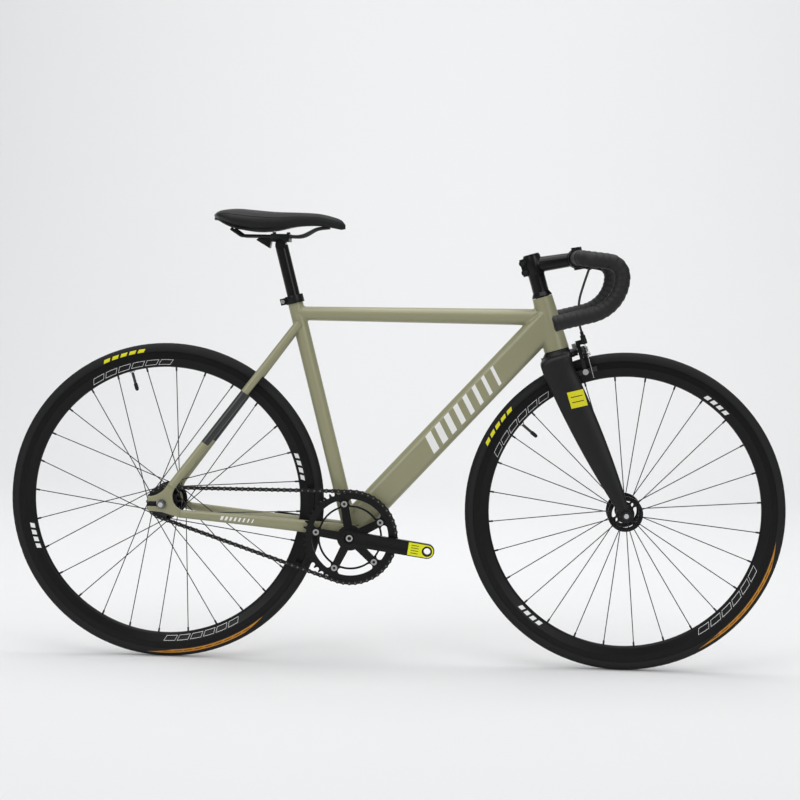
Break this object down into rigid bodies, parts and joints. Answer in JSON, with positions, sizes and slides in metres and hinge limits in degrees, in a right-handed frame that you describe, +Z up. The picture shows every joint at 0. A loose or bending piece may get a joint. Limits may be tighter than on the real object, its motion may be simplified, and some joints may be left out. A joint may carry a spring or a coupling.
{
  "type": "fixed gear bicycle",
  "caption": "Fixed gear track bicycle with drop bars, deep-blade fork, spoked wheels on high-flange hubs, a chain drive and one front rim brake.",
  "frame": {"origin": "on the floor under the middle of the wheelbase, in the plane of the wheels", "axes": "+X forward along the bicycle, +Y to the rider's left, +Z up"},
  "size_m": [1.6429, 0.4324, 0.9627],
  "materials": {
    "frame_paint": "satin",
    "fork_composite": "satin",
    "black_alloy": "satin",
    "black_steel": "satin",
    "bright_steel": "polished",
    "tyre_rubber": "matte",
    "black_rubber": "matte",
    "bar_wrap": "matte",
    "saddle_padding": "satin",
    "black_plastic": "satin",
    "rail_alloy": "satin"
  },
  "bodies": {
    "frame": {"head_tube": "frame_paint", "top_tube": "frame_paint", "down_tube": "frame_paint", "seat_tube": "frame_paint", "bottom_bracket_shell": "frame_paint", "chainstays": "frame_paint", "seatstays": "frame_paint", "track_ends": "frame_paint", "seat_clamp": "black_alloy", "bottom_bracket_cups": "black_alloy", "rear_axle": "bright_steel", "rear_axle_nuts": "bright_steel", "headset_bearings": "bright_steel", "chain": "black_steel"},
    "steering": {"fork": "fork_composite", "headset_spacers": "black_alloy", "stem": "black_alloy", "stem_faceplate": "black_alloy", "stem_bolts": "black_steel", "stem_top_cap": "black_alloy", "handlebar": "black_alloy", "bar_tape": "bar_wrap", "bar_end_plugs": "black_plastic", "brake_lever_body": "black_alloy", "front_axle": "bright_steel", "front_axle_nuts": "bright_steel", "brake_mount": "bright_steel", "brake_housing": "black_plastic"},
    "front_wheel": {"front_hub": "black_alloy", "front_hub_bearings": "bright_steel", "front_spokes": "black_steel", "front_rim": "black_alloy", "front_tyre": "tyre_rubber", "front_inner_tube": "black_rubber"},
    "rear_wheel": {"rear_hub": "black_alloy", "rear_hub_bearings": "bright_steel", "rear_spokes": "black_steel", "rear_rim": "black_alloy", "rear_tyre": "tyre_rubber", "rear_inner_tube": "black_rubber", "cog": "black_steel", "cog_lockring": "black_steel"},
    "cranks": {"crank_right": "black_alloy", "crank_left": "black_alloy", "bottom_bracket_spindle": "bright_steel", "chainring": "black_alloy", "chainring_bolts": "bright_steel", "crank_bolts": "bright_steel"},
    "brake_lever": {"brake_lever": "black_alloy"},
    "caliper_right": {"caliper_arm_right": "black_alloy", "brake_shoe_right": "black_rubber", "barrel_adjuster": "black_alloy"},
    "caliper_left": {"caliper_arm_left": "black_alloy", "brake_shoe_left": "black_rubber", "brake_cable": "bright_steel"},
    "seatpost": {"seatpost": "black_alloy"},
    "saddle_cradle": {"saddle_clamp": "black_alloy"},
    "saddle": {"saddle_cover": "saddle_padding", "saddle_base": "black_plastic", "saddle_rails": "rail_alloy"}
  },
  "joints": [
    {"name": "steering_turn", "type": "hinge", "parent": "frame", "child": "steering", "pos_m": [0.43948, 0, 0.32237], "axis": [-0.284, 0, 0.9588], "range_deg": [-65, 65]},
    {"name": "front_wheel_spin", "type": "hinge", "parent": "steering", "child": "front_wheel", "pos_m": [0.4855, 0, 0.336], "axis": [0, 1, 0], "continuous": true},
    {"name": "rear_wheel_spin", "type": "hinge", "parent": "frame", "child": "rear_wheel", "pos_m": [-0.4855, 0, 0.336], "axis": [0, 1, 0], "continuous": true, "deforming": ["chain"]},
    {"name": "crank_spin", "type": "hinge", "parent": "frame", "child": "cranks", "pos_m": [-0.0893, 0, 0.273], "axis": [0, 1, 0], "continuous": true},
    {"name": "brake_lever_pull", "type": "hinge", "parent": "steering", "child": "brake_lever", "pos_m": [0.38968, -0.049, 0.85022], "axis": [-0.2233, 0, -0.9748], "range_deg": [0, 14], "stiffness_Nm_per_rad": 2, "springref_deg": -8.59},
    {"name": "caliper_right_close", "type": "hinge", "parent": "steering", "child": "caliper_right", "pos_m": [0.36145, 0.02, 0.67732], "axis": [0.9588, 0, 0.284], "range_deg": [0, 2]},
    {"name": "caliper_left_close", "type": "hinge", "parent": "steering", "child": "caliper_left", "pos_m": [0.36429, 0, 0.66774], "axis": [-0.9588, 0, -0.284], "range_deg": [0, 2.4]},
    {"name": "seatpost_height", "type": "slide", "parent": "frame", "child": "seatpost", "axis": [-0.2521, 0, 0.9677], "range_m": [-0.06, 0.1]},
    {"name": "saddle_tilt", "type": "hinge", "parent": "seatpost", "child": "saddle_cradle", "pos_m": [-0.24861, 0, 0.88459], "axis": [0, 1, 0], "range_deg": [-8, 8]},
    {"name": "saddle_reach", "type": "slide", "parent": "saddle_cradle", "child": "saddle", "axis": [1, 0, 0], "range_m": [-0.012, 0.012]}
  ],
  "couplings": [
    {"joint": "crank_spin", "follows": "rear_wheel_spin", "ratio": 0.33333},
    {"joint": "caliper_right_close", "follows": "brake_lever_pull", "ratio": 0.125},
    {"joint": "caliper_left_close", "follows": "brake_lever_pull", "ratio": 0.153}
  ]
}
